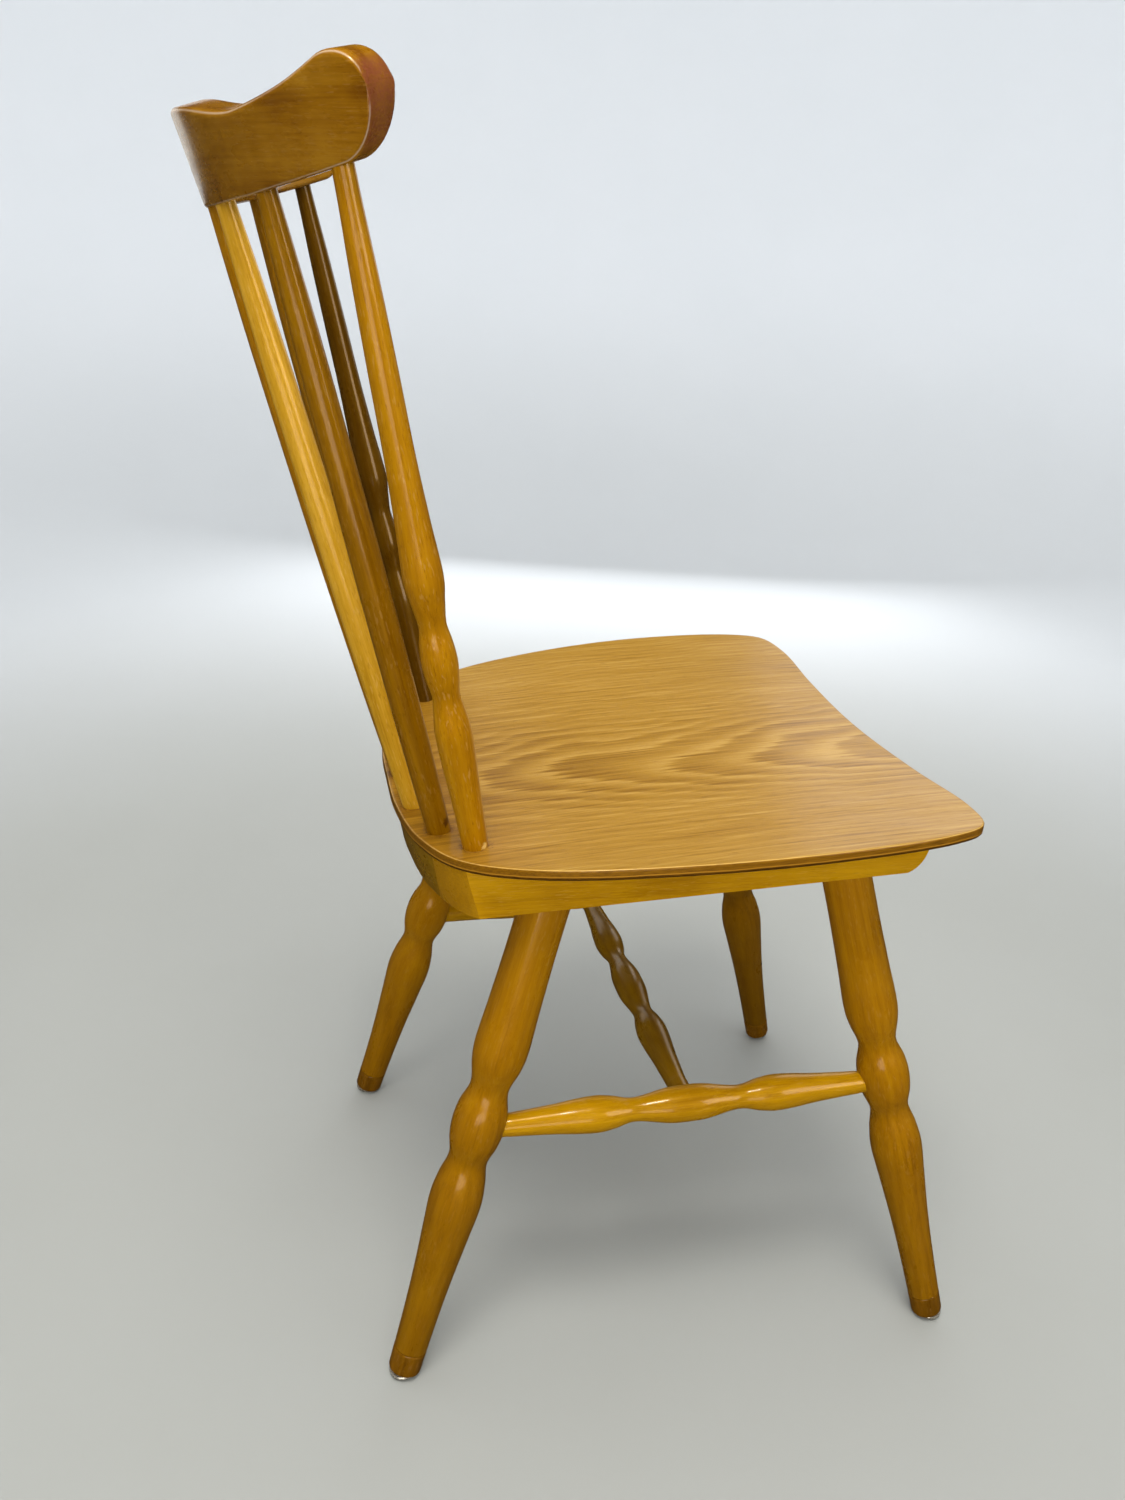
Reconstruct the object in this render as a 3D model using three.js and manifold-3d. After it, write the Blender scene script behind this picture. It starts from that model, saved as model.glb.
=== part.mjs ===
// A dining chair in turned and varnished beech: four splayed legs with an H of stretchers, a U-shaped
// seat frame, a moulded plywood seat, two turned back posts, five plain spindles and a bent crest rail.
// Millimetres. +Z is up, the chair faces -Y, and the origin is on the floor under the middle of its box.
import * as THREE from "three";
import { mergeVertices } from "three/addons/utils/BufferGeometryUtils.js";
import Module from "manifold-3d";

const wasm = await Module();
wasm.setup();

// ---------------------------------------------------------------- driving dimensions
const GAP = 0.3; // glue line or clearance between two pieces that fit together
const OVERCUT = 0.6; // how much deeper a socket is than the piece in it

// Seat panel: its top is Z = SEAT_Z + slope, fore-and-aft crown and side-to-side dish.
const SEAT_Z = 431.3;
const SEAT_SLOPE = 0.076;
const SEAT_CROWN = 0.0001;
const SEAT_DISH = 10;
const SEAT_HALF_WIDTH = 218.5;
const SEAT_THICK = 8;
const SEAT_ARRIS = 1.4; // rounding of the panel's top edge
const SEAT_UNDERCUT = 2.2; // rounding of its bottom edge
// Half of the panel's outline, from the middle of the front edge to the middle of the rear edge.
const SEAT_OUTLINE = [
  [0, -221],
  [95, -224.5],
  [165, -228],
  [199, -219],
  [211, -194],
  [218.5, -114],
  [211.5, -20],
  [188, 73],
  [156, 121],
  [110, 143],
  [50, 152.5],
  [0, 153.5],
];

// Seat frame. The rails' underside is one sloping plane, Z = RAIL_Z - RAIL_SLOPE * Y.
const RAIL_Z = 388.9;
const RAIL_SLOPE = 0.0644;
const RAIL_THICK = 46;
const RAIL_REAR_Y = 120; // where the side rail's outer face is RAIL_REAR_X from the middle
const RAIL_REAR_X = 155;
const RAIL_SPLAY = 0.045; // how fast the side rails spread towards the front
const RAIL_NOSE_Y = -188; // the underside ends here, and the nose curves up to RAIL_TIP_Y
const RAIL_TIP_Y = -202;
const RAIL_TIP_RISE = 32; // how high the nose's curve reaches above the underside
const RAIL_BLOCK_REAR_Y = 190; // behind the panel: the frame's outer face cuts the rail short
const RAIL_TOP_Z = 475; // above the panel: every rail is cut to the panel's underside
const RAIL_BLOCK_BOTTOM = 350; // under the rails' underside, which cuts it off
const REAR_RAIL_HALF = 120.7; // half of the rear rail's length, joint to joint
const REAR_RAIL_THICK = 34;
const REAR_RAIL_BOW = 14; // how far its inner face bows towards the rear
const FRAME_INSET_TOP = 1; // the frame's outer face inside the panel's edge, at the panel
const FRAME_INSET_BOTTOM = 9; // and at the underside
const FRONT_RAIL_Y = -170;
const FRONT_RAIL_THICK = 20;

// Legs: where each meets the floor, and the direction of its axis from the floor up.
const LEGS = {
  rear: { foot: [168, 160], rise: [-0.094, -0.259, 0.961] },
  front: { foot: [189.5, -264], rise: [-0.124, 0.2632, 0.9567] },
};
// Distance down the axis from the rails' underside, and radius.
const LEG_PROFILE = [
  [-20, 17.5],
  [0, 17.5],
  [45, 17.6],
  [88, 18.5],
  [119, 19.5],
  [134, 18.1],
  [153, 14],
  [170, 18],
  [183, 19.2],
  [196, 18],
  [212, 14.3],
  [230, 17.6],
  [248, 19.2],
  [275, 17.4],
  [315, 14.7],
  [360, 12.9],
  [440, 11.2],
];
const LEG_BEAD = 188; // the stretchers enter the legs at this bead
const LEG_TENON_RADIUS = 11;
const LEG_TENON_LENGTH = 26;
const TIP_LENGTH = 24; // the separate end of each leg, measured up the axis from the floor
const TIP_PIN_RADIUS = 5;
const TIP_PIN_LENGTH = 10;
const GLIDE_HEIGHT = 3.4;
const GLIDE_RADIUS = 9;

// Stretchers: distance from the middle, and radius. All three are turned to one pattern.
const STRETCHER_PROFILE = [
  [0, 13.2],
  [14, 12.6],
  [39, 8.6],
  [55, 11.6],
  [67, 13.1],
  [82, 12.3],
  [98, 10.6],
  [120, 9],
  [133, 8.3],
];
const STRETCHER_TENON = 8; // radius inside the leg
const STRETCHER_STOP = 5; // how far short of the leg's axis a stretcher ends
const CROSS_SCALE = 0.92; // the cross stretcher is a little thinner

// Back: where each member's axis crosses the seat, and the X at which it enters the crest.
const MEMBERS = [
  { name: "back_post_left", seat: [136.5, 108.5], crest: 175, turned: true },
  { name: "back_post_right", seat: [-136.5, 108.5], crest: -175, turned: true },
  { name: "outer_spindle_left", seat: [104, 128], crest: 119, turned: false },
  { name: "outer_spindle_right", seat: [-104, 128], crest: -119, turned: false },
  { name: "inner_spindle_left", seat: [57, 139], crest: 54, turned: false },
  { name: "inner_spindle_right", seat: [-57, 139], crest: -54, turned: false },
  { name: "middle_spindle", seat: [0, 141.5], crest: 0, turned: false },
];
const MEMBER_DEPTH = 18; // how far a member goes down into the frame
const MEMBER_RISE = 21; // and up into the crest rail
// Distance up the axis from the seat, and radius.
const POST_PROFILE = [
  [-18, 8.5],
  [0, 8.5],
  [34, 9.6],
  [61, 10.8],
  [86, 11.5],
  [100, 10],
  [112, 8.6],
  [123, 10],
  [134, 11],
  [146, 10.2],
  [159, 8.4],
  [173, 10],
  [189, 11.8],
  [222, 10.1],
  [260, 8.7],
  [306, 8.1],
  [352, 7.2],
  [395, 5.9],
  [440, 5.7],
];
const SPINDLE_PROFILE = [
  [-18, 8.1],
  [0, 8.2],
  [70, 9.2],
  [170, 9.6],
  [250, 9],
  [320, 8],
  [370, 6.6],
  [400, 5.7],
  [440, 5.5],
];

// Crest rail: a board bent to an arc and leaned back.
const CREST_RADIUS = 271; // of the rear face
const CREST_CENTRE_Y = -2.2; // of the arc, at CREST_Z
const CREST_THICK_TOP = 22;
const CREST_THICK_FOOT = 15.5;
const CREST_Z = 826.5;
const CREST_LEAN = 0.33; // how far back per unit of height
const CREST_CORNER = 4; // rounding of its long edges
const CREST_CAP = 215; // along the rear face, the ends' round caps start here
const CREST_END = 243; // and end here
const CREST_OFFSET = 5; // the crest is fitted this far off centre, towards the left
const CREST_BEVEL = 4; // the ends are cut aslant: the rear face is this much shorter at each end
const CREST_BEVEL_START = 190; // along the rear face, from here the slant grows to the end
// Along the rear face from the middle: height of the board's middle line, and half its width.
const CREST_LINE = [
  [0, 824.3],
  [66, 823.7],
  [118, 823.9],
  [145, 826.5],
  [183, 833.8],
  [220, 844.5],
  [243, 852.5],
];
const CREST_HALF = [
  [0, 26.2],
  [66, 23.8],
  [118, 19.8],
  [145, 18.8],
  [183, 19.7],
  [215, 22.2],
];

// Fixings: wood screws from below that hold the panel, and dowels in the frame's corners.
const SCREW_RADIUS = 2;
const SCREW_HEAD = 4.2;
const SCREW_SINK = 8; // the counterbore's depth
const SCREW_BITE = 4.5; // how far a screw goes into the panel
const DOWEL_RADIUS = 4;

// ---------------------------------------------------------------- finishes
const finish = (color, roughness, metalness = 0) =>
  new THREE.MeshStandardMaterial({ color, roughness, metalness });
const beech = () => finish(0xa8700f, 0.28);
const crestBeech = () => finish(0x8a5a20, 0.25);
const veneer = () => finish(0xc79a4b, 0.35);
const rawDowel = () => finish(0xd9bd8a, 0.7);
const nickel = () => finish(0xc8c8c4, 0.2, 1);
const zinc = () => finish(0xb4b08a, 0.4, 1);

// ---------------------------------------------------------------- geometry helpers
const SIDES = 12; // facets round a leg
const SLIM_SIDES = 10; // and round a thinner turned piece
const LONGEST_STEP = 30; // between two rings of a turned piece

function solid(geometry) {
  const bare = geometry.index ? geometry.toNonIndexed() : geometry.clone();
  bare.deleteAttribute("normal");
  bare.deleteAttribute("uv");
  const merged = mergeVertices(bare, 1e-4);
  return new wasm.Manifold(
    new wasm.Mesh({
      numProp: 3,
      vertProperties: merged.attributes.position.array,
      triVerts: new Uint32Array(merged.index.array),
    }),
  );
}

function geometryOf(manifold) {
  const mesh = manifold.getMesh();
  return new THREE.BufferGeometry()
    .setAttribute(
      "position",
      new THREE.BufferAttribute(new Float32Array(mesh.vertProperties), 3),
    )
    .setIndex(new THREE.BufferAttribute(mesh.triVerts, 1));
}

// A closed body from rings of equal length, with a flat or pointed cap on each end.
function loft(rings) {
  const count = rings[0].length;
  const points = rings.flat();
  const faces = [];
  for (let ring = 0; ring < rings.length - 1; ring++) {
    for (let i = 0; i < count; i++) {
      const a = ring * count + i;
      const b = ring * count + ((i + 1) % count);
      faces.push(a, b, a + count, b, b + count, a + count);
    }
  }
  const middle = (ring) =>
    ring
      .reduce((sum, point) => sum.add(point), new THREE.Vector3())
      .divideScalar(count);
  const first = points.push(middle(rings[0])) - 1;
  const last = points.push(middle(rings.at(-1))) - 1;
  const offset = (rings.length - 1) * count;
  for (let i = 0; i < count; i++) {
    const next = (i + 1) % count;
    faces.push(first, next, i, last, offset + i, offset + next);
  }
  return new THREE.BufferGeometry().setFromPoints(points).setIndex(faces);
}

// A value read off a smooth curve through [distance, value] points.
function smooth(points) {
  const curve = new THREE.SplineCurve(
    points.map(([along, value]) => new THREE.Vector2(along, value)),
  );
  const samples = curve.getPoints(points.length * 8);
  return (along) => {
    const at = Math.max(
      1,
      samples.findIndex((sample) => sample.x >= along),
    );
    const [before, after] =
      along > samples.at(-1).x
        ? samples.slice(-2)
        : [samples[at - 1], samples[at]];
    const part = (along - before.x) / (after.x - before.x || 1);
    return before.y + part * (after.y - before.y);
  };
}

// Where a turned piece has its rings: at its pattern's points, and between them where they are far apart.
function stations(pattern, start, end) {
  const inside = pattern.map(([along]) => along).filter((at) => at > start + 3 && at < end - 3);
  const marks = [start, ...inside, end];
  return marks.flatMap((mark, i) => {
    const span = (marks[i + 1] ?? mark) - mark;
    return span > LONGEST_STEP ? [mark, mark + span / 2] : [mark];
  });
}

// A turned piece about +Y with a ring of radius(distance) at each mark.
function turned(radius, marks, sides, grow = 0) {
  const outline = marks.map((along) => new THREE.Vector2(radius(along) + grow, along));
  outline[0].y -= grow;
  outline.at(-1).y += grow;
  const start = new THREE.Vector2(0, outline[0].y);
  const end = new THREE.Vector2(0, outline.at(-1).y);
  return new THREE.LatheGeometry([start, ...outline, end], sides);
}

// A turned piece from a short list of [distance, radius] corners.
function turnedCorners(corners, sides = 8) {
  return new THREE.LatheGeometry(
    corners.map(([along, radius]) => new THREE.Vector2(radius, along)),
    sides,
  );
}

// The frame that stands a piece turned about +Y on a point, with its axis along a direction.
function stand(point, direction) {
  const turn = new THREE.Quaternion().setFromUnitVectors(
    new THREE.Vector3(0, 1, 0),
    direction.clone().normalize(),
  );
  return new THREE.Matrix4().compose(point, turn, new THREE.Vector3(1, 1, 1));
}

// The same piece as a solid.
const placed = (geometry, point, direction) =>
  solid(geometry.applyMatrix4(stand(point, direction)));

const UP = new THREE.Vector3(0, 0, 1);
const vector = (x, y, z) => new THREE.Vector3(x, y, z);

function minus(body, cutters) {
  return cutters.reduce((rest, cutter) => rest.subtract(cutter), body);
}

// ---------------------------------------------------------------- surfaces shared by the pieces
function seatTop(x, y) {
  const dish = SEAT_DISH * (x / SEAT_HALF_WIDTH) ** 2;
  return SEAT_Z - SEAT_SLOPE * y - SEAT_CROWN * y * y + dish;
}

const seatUnder = (x, y) => seatTop(x, y) - SEAT_THICK;
const railUnder = (y) => RAIL_Z - RAIL_SLOPE * y;
const sideRailOuter = (y) => RAIL_REAR_X + RAIL_SPLAY * (RAIL_REAR_Y - y);

// The panel's outline, inset, as points in order round it.
function seatOutline(inset, count) {
  const half = SEAT_OUTLINE.map(([x, y]) => vector(x, y, 0));
  const other = SEAT_OUTLINE.slice(1, -1)
    .reverse()
    .map(([x, y]) => vector(-x, y, 0));
  const curve = new THREE.CatmullRomCurve3([...half, ...other], true);
  return Array.from({ length: count }, (_, i) => {
    const point = curve.getPointAt(i / count);
    const along = curve.getTangentAt(i / count);
    return point.sub(vector(along.y, -along.x, 0).multiplyScalar(inset));
  });
}

// ---------------------------------------------------------------- seat
const OUTLINE_POINTS = 44;
const ENVELOPE_POINTS = 96; // the frame's outer face is seen close to, so it is rounder

function seatRing(inset, share, height) {
  return seatOutline(inset, OUTLINE_POINTS).map(({ x, y }) => {
    const [u, v] = [x * share, y * share];
    return vector(u, v, height(u, v));
  });
}

function seatPanelBody() {
  const shares = [0.3, 0.65];
  const rings = [
    ...shares.map((share) => seatRing(0, share, seatUnder)),
    seatRing(SEAT_UNDERCUT, 1, seatUnder),
    seatRing(0, 1, (x, y) => seatUnder(x, y) + SEAT_UNDERCUT),
    seatRing(0, 1, (x, y) => seatTop(x, y) - SEAT_ARRIS),
    seatRing(SEAT_ARRIS, 1, seatTop),
    ...shares.map((share) => seatRing(0, share, seatTop)).reverse(),
  ];
  return solid(loft(rings));
}

// Everything above the panel's underside, to cut the rails to the panel.
function abovePanel() {
  const reach = (share) =>
    seatRing(-20, share, (x, y) => seatUnder(x, y) - GAP);
  const lid = (share) => seatRing(-20, share, () => RAIL_TOP_Z + 10);
  return solid(
    loft([...[0.3, 0.65, 1].map(reach), lid(1), lid(0.3)]),
  );
}

// ---------------------------------------------------------------- seat frame
// Plan shape, Z from bottom to top.
function upright(shape, bottom, top) {
  return new THREE.ExtrudeGeometry(shape, {
    depth: top - bottom,
    bevelEnabled: false,
    curveSegments: 12,
  }).translate(0, 0, bottom);
}

// Everything under the rails' underside, lowered by a gap.
function belowRails(gap) {
  const depth = 400;
  const tilt = new THREE.Matrix4()
    .makeRotationX(-Math.atan(RAIL_SLOPE))
    .setPosition(0, 0, RAIL_Z - gap);
  return solid(
    new THREE.BoxGeometry(900, 1200, depth)
      .translate(0, 0, -depth / 2)
      .applyMatrix4(tilt),
  );
}

// The frame's outer face: it follows the panel's edge and leans in towards the floor.
function frameEnvelope() {
  const seatLevel = 430;
  const underLevel = 385;
  const lean = (FRAME_INSET_BOTTOM - FRAME_INSET_TOP) / (seatLevel - underLevel);
  const ring = (z) =>
    seatOutline(FRAME_INSET_TOP + lean * (seatLevel - z), ENVELOPE_POINTS).map(
      ({ x, y }) => vector(x, y, z),
    );
  return solid(loft([ring(365), ring(RAIL_TOP_Z + 5)]));
}

function rearRailBlock(grow) {
  const half = REAR_RAIL_HALF + grow;
  const innerMiddle = SEAT_OUTLINE.at(-1)[1] - REAR_RAIL_THICK - grow;
  const innerEnd = innerMiddle - REAR_RAIL_BOW;
  const shape = new THREE.Shape();
  shape.moveTo(-half, innerEnd);
  shape.quadraticCurveTo(0, 2 * innerMiddle - innerEnd, half, innerEnd);
  shape.lineTo(half, RAIL_BLOCK_REAR_Y);
  shape.lineTo(-half, RAIL_BLOCK_REAR_Y);
  return solid(upright(shape, RAIL_BLOCK_BOTTOM, RAIL_TOP_Z));
}

function sideRailBlock(side) {
  const shape = new THREE.Shape();
  shape.moveTo(RAIL_BLOCK_REAR_Y, railUnder(RAIL_BLOCK_REAR_Y));
  shape.lineTo(RAIL_BLOCK_REAR_Y, RAIL_TOP_Z);
  shape.lineTo(RAIL_TIP_Y, RAIL_TOP_Z);
  shape.lineTo(RAIL_TIP_Y, railUnder(RAIL_TIP_Y) + RAIL_TIP_RISE);
  shape.quadraticCurveTo(
    RAIL_TIP_Y - 1,
    railUnder(RAIL_NOSE_Y) + 6,
    RAIL_NOSE_Y,
    railUnder(RAIL_NOSE_Y),
  );
  const board = new THREE.ExtrudeGeometry(shape, {
    depth: RAIL_THICK,
    bevelEnabled: false,
    curveSegments: 8,
  });
  const upOnEdge = new THREE.Matrix4().makeBasis(
    vector(0, 1, 0),
    vector(0, 0, 1),
    vector(1, 0, 0),
  );
  board.applyMatrix4(upOnEdge);
  board.translate(side > 0 ? -RAIL_THICK : 0, -RAIL_REAR_Y, 0);
  board.rotateZ(side * Math.atan(RAIL_SPLAY));
  board.translate(side * RAIL_REAR_X, RAIL_REAR_Y, 0);
  return solid(board);
}

function frontRailBlock() {
  const [front, rear] = [-1, 1].map(
    (end) => FRONT_RAIL_Y + (end * FRONT_RAIL_THICK) / 2,
  );
  const inner = (y) => sideRailOuter(y) - RAIL_THICK * 1.001 - GAP;
  const shape = new THREE.Shape();
  shape.moveTo(-inner(front), front);
  shape.lineTo(inner(front), front);
  shape.lineTo(inner(rear), rear);
  shape.lineTo(-inner(rear), rear);
  return solid(upright(shape, railUnder(FRONT_RAIL_Y) + 4, RAIL_TOP_Z));
}

// ---------------------------------------------------------------- legs, tips and glides
const legRadius = smooth(LEG_PROFILE);

// The leg's axis: a point on the floor, the direction up, and its length up to the rails.
function legAxis(end, side) {
  const { foot, rise } = LEGS[end];
  const floor = vector(side * foot[0], foot[1], 0);
  const up = vector(side * rise[0], rise[1], rise[2]).normalize();
  const length = railUnder(floor.y) / (up.z + RAIL_SLOPE * up.y);
  return { floor, up, length };
}

// The same leg pattern measured from the rails down: distance up from the floor is length - down.
function legPoint(axis, down) {
  return axis.floor.clone().addScaledVector(axis.up, axis.length - down);
}

function legTenon(axis, grow) {
  const deep = grow ? OVERCUT : 0;
  return solid(
    turnedCorners(
      [
        [-4, 0],
        [-4, LEG_TENON_RADIUS + grow],
        [LEG_TENON_LENGTH + deep - 2, LEG_TENON_RADIUS + grow],
        [LEG_TENON_LENGTH + deep, LEG_TENON_RADIUS + grow - 1.5],
        [LEG_TENON_LENGTH + deep, 0],
      ],
      SIDES,
    ).applyMatrix4(stand(legPoint(axis, 0), axis.up)),
  );
}

// The leg's turned outline between two distances up its axis from the floor.
function legBlank(axis, from, to) {
  const pattern = LEG_PROFILE.map(([down]) => [axis.length - down]).reverse();
  const radius = (along) => legRadius(axis.length - along);
  return turned(radius, stations(pattern, from, to), SIDES);
}

function legBody(axis) {
  const blank = placed(
    legBlank(axis, TIP_LENGTH + GAP, axis.length + 15),
    axis.floor,
    axis.up,
  );
  return blank.intersect(belowRails(GAP)).add(legTenon(axis, 0));
}

function tipPin(axis, grow) {
  const deep = grow ? OVERCUT : 0;
  return solid(
    turnedCorners([
      [TIP_LENGTH - 4, 0],
      [TIP_LENGTH - 4, TIP_PIN_RADIUS + grow],
      [TIP_LENGTH + TIP_PIN_LENGTH + deep, TIP_PIN_RADIUS + grow],
      [TIP_LENGTH + TIP_PIN_LENGTH + deep, 0],
    ]).applyMatrix4(stand(axis.floor, axis.up)),
  );
}

function tipBody(axis) {
  const blank = placed(legBlank(axis, -8, TIP_LENGTH), axis.floor, axis.up);
  const floorCut = solid(
    new THREE.BoxGeometry(80, 80, 40).translate(
      axis.floor.x,
      axis.floor.y,
      GLIDE_HEIGHT + GAP - 20,
    ),
  );
  return blank.subtract(floorCut).add(tipPin(axis, 0));
}

// A nail-on glide about +Z: a low dome with a flat underneath, and its nail.
function glideGeometry(grow) {
  const nail = 1.4 + grow;
  return turnedCorners(
    [
      [0, 0],
      [0, 6.5],
      [1.2, 8.4],
      [GLIDE_HEIGHT - 0.5 + grow, GLIDE_RADIUS + grow],
      [GLIDE_HEIGHT + grow, GLIDE_RADIUS - 0.6 + grow],
      [GLIDE_HEIGHT + grow, nail],
      [GLIDE_HEIGHT + 12 + grow, nail * 0.8],
      [GLIDE_HEIGHT + 14 + grow, 0],
    ],
    SIDES,
  );
}

// ---------------------------------------------------------------- stretchers
const stretcherRadius = smooth(STRETCHER_PROFILE);

// A stretcher from axis to axis; its ends stop short of both.
function stretcherGeometry(length, scale, grow) {
  const half = length / 2 - STRETCHER_STOP;
  const neck = STRETCHER_PROFILE.at(-1)[0];
  const radius = (along) => {
    const from = Math.abs(along);
    return from < neck ? scale * stretcherRadius(from) : STRETCHER_TENON;
  };
  const pattern = [...STRETCHER_PROFILE].reverse().map(([along]) => [-along]);
  const both = [...pattern, ...STRETCHER_PROFILE.slice(1)];
  return turned(radius, stations(both, -half, half), SLIM_SIDES, grow);
}

// ---------------------------------------------------------------- back
const postRadius = smooth(POST_PROFILE);
const spindleRadius = smooth(SPINDLE_PROFILE);

// A point of the crest: an angle round its arc, a height, and a depth square in from the rear face.
function crestPoint(angle, z, depth) {
  const inward = vector(Math.sin(angle), Math.cos(angle), -CREST_LEAN * Math.cos(angle))
    .normalize()
    .multiplyScalar(-depth);
  return vector(
    CREST_OFFSET + CREST_RADIUS * Math.sin(angle),
    CREST_CENTRE_Y + CREST_LEAN * (z - CREST_Z) + CREST_RADIUS * Math.cos(angle),
    z,
  ).add(inward);
}

const crestLine = smooth(CREST_LINE);
const crestHalf = smooth(CREST_HALF);

function crestHalfAt(along) {
  if (along <= CREST_CAP) return crestHalf(along);
  const part = (along - CREST_CAP) / (CREST_END - CREST_CAP);
  return crestHalf(CREST_CAP) * Math.sqrt(Math.max(0, 1 - part * part));
}

const crestUnder = (along) => crestLine(along) - crestHalfAt(along);

function memberAxis({ seat: [x, y], crest }) {
  const seat = vector(x, y, seatTop(x, y));
  const angle = Math.asin((crest - CREST_OFFSET) / (CREST_RADIUS - CREST_THICK_FOOT / 2));
  const under = crestUnder(Math.abs(angle) * CREST_RADIUS);
  const up = crestPoint(angle, under, CREST_THICK_FOOT / 2).sub(seat);
  const length = up.length();
  return { seat, up: up.normalize(), length };
}

function memberGeometry(member, axis, grow) {
  const pattern = member.turned ? POST_PROFILE : SPINDLE_PROFILE;
  const radius = member.turned ? postRadius : spindleRadius;
  const top = axis.length + MEMBER_RISE;
  const geometry = turned(radius, stations(pattern, -MEMBER_DEPTH, top), SLIM_SIDES, grow);
  return geometry.applyMatrix4(stand(axis.seat, axis.up));
}

// How far round the arc a point of the section at `along` lies, once the ends are cut aslant.
function crestAngle(along, depth) {
  const part = Math.max(0, Math.abs(along) - CREST_BEVEL_START) / (CREST_END - CREST_BEVEL_START);
  const short = CREST_BEVEL * part * part * (1 - depth / CREST_THICK_TOP);
  return (along - Math.sign(along) * short) / CREST_RADIUS;
}

// One section of the crest, square to its rear face: a tapered board with rounded corners.
function crestSection(along) {
  const size = Math.abs(along);
  const half = Math.max(1.2, crestHalfAt(size));
  const corner = Math.min(CREST_CORNER, 0.8 * half);
  const points = [];
  for (const [outward, upward, start] of [
    [1, 1, 0],
    [0, 1, 90],
    [0, -1, 180],
    [1, -1, 270],
  ]) {
    for (const step of [0, 45, 90]) {
      const turn = THREE.MathUtils.degToRad(start + step);
      const height = upward * (half - corner) + corner * Math.sin(turn);
      const share = 0.5 + height / (2 * crestHalf(0));
      const thick = CREST_THICK_FOOT + share * (CREST_THICK_TOP - CREST_THICK_FOOT);
      const near = outward ? corner : thick - corner;
      const depth = near - corner * Math.cos(turn);
      points.push(crestPoint(crestAngle(along, depth), crestLine(size) + height, depth));
    }
  }
  return points;
}

function crestBody() {
  const rings = [];
  const spanSteps = 16;
  const capSteps = 4;
  for (let i = 0; i <= spanSteps; i++) {
    rings.push(crestSection(CREST_CAP * ((2 * i) / spanSteps - 1)));
  }
  for (let i = 1; i <= capSteps; i++) {
    const reach = Math.sin((i / capSteps) * (Math.PI / 2));
    const along = CREST_CAP + (CREST_END - CREST_CAP) * reach;
    rings.push(crestSection(along));
    rings.unshift(crestSection(-along));
  }
  return solid(loft(rings));
}

// ---------------------------------------------------------------- screws and dowels
// A countersunk wood screw about +Z from its head at 0 to its point.
function screwGeometry(length, grow) {
  const shank = SCREW_RADIUS + grow;
  const head = SCREW_HEAD + grow;
  return turnedCorners([
    [grow ? -30 : 0, 0],
    [grow ? -30 : 0, head],
    [0.6 + grow, head],
    [3 + grow, shank],
    [length - 5 + grow, shank],
    [length + grow, 0],
  ]);
}

function dowelGeometry(length, grow) {
  const half = length / 2 + grow;
  const radius = DOWEL_RADIUS + grow;
  return turnedCorners([
    [-half, 0],
    [-half, radius - 0.8],
    [1 - half, radius],
    [half - 1, radius],
    [half, radius - 0.8],
    [half, 0],
  ]);
}

const SCREWS = [
  { name: "seat_screw_front", at: [0, FRONT_RAIL_Y] },
  ...[1, -1].flatMap((side) =>
    [
      [28.5, 131],
      [sideRailOuter(10) - RAIL_THICK / 2, 10],
      [sideRailOuter(-90) - RAIL_THICK / 2, -90],
    ].map(([x, y], i) => ({
      name: `seat_screw_${side > 0 ? "left" : "right"}_${i + 1}`,
      at: [side * x, y],
    })),
  ),
].map(({ name, at: [x, y] }) => {
  const head = railUnder(y) + SCREW_SINK;
  return { name, foot: vector(x, y, head), length: seatUnder(x, y) + SCREW_BITE - head };
});

const DOWELS = [1, -1].flatMap((side) => {
  const word = side > 0 ? "left" : "right";
  const inner = sideRailOuter(FRONT_RAIL_Y) - RAIL_THICK;
  return [
    {
      name: `corner_dowel_${word}`,
      middle: vector(side * REAR_RAIL_HALF, 116, 395),
      length: 32,
    },
    ...[414, 427].map((z, i) => ({
      name: `front_dowel_${word}_${i + 1}`,
      middle: vector(side * inner, FRONT_RAIL_Y - 1, z),
      length: 34,
    })),
  ];
});

// ---------------------------------------------------------------- assembly
const chair = new THREE.Group();
const frameGroup = new THREE.Group();
const baseGroup = new THREE.Group();
const backGroup = new THREE.Group();
const fixings = new THREE.Group();
chair.add(frameGroup, baseGroup, backGroup, fixings);

function addBody(group, name, material, body) {
  const mesh = new THREE.Mesh(geometryOf(body), material);
  mesh.name = name;
  group.add(mesh);
  return mesh;
}

// A mesh turned about +Y, stood on a point along a direction.
function addTurned(group, name, material, geometry, point, direction) {
  const mesh = new THREE.Mesh(geometry, material);
  mesh.name = name;
  stand(point, direction).decompose(mesh.position, mesh.quaternion, mesh.scale);
  group.add(mesh);
  return mesh;
}

const SIDE_WORDS = [
  ["left", 1],
  ["right", -1],
];
const legs = SIDE_WORDS.flatMap(([word, side]) =>
  ["front", "rear"].map((end) => ({ word, side, end, axis: legAxis(end, side) })),
);
const members = MEMBERS.map((member) => ({ member, axis: memberAxis(member) }));
const sideStretchers = SIDE_WORDS.map(([word, side]) => {
  const [from, to] = ["rear", "front"].map((end) =>
    legPoint(legAxis(end, side), LEG_BEAD),
  );
  const along = to.clone().sub(from);
  return {
    name: `side_stretcher_${word}`,
    middle: from.clone().add(to).multiplyScalar(0.5),
    along: along.clone().normalize(),
    length: along.length(),
    scale: 1,
  };
});
const crossStretcher = {
  name: "cross_stretcher",
  middle: vector(0, sideStretchers[0].middle.y, sideStretchers[0].middle.z),
  along: vector(1, 0, 0),
  length: 2 * sideStretchers[0].middle.x,
  scale: CROSS_SCALE,
};

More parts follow.
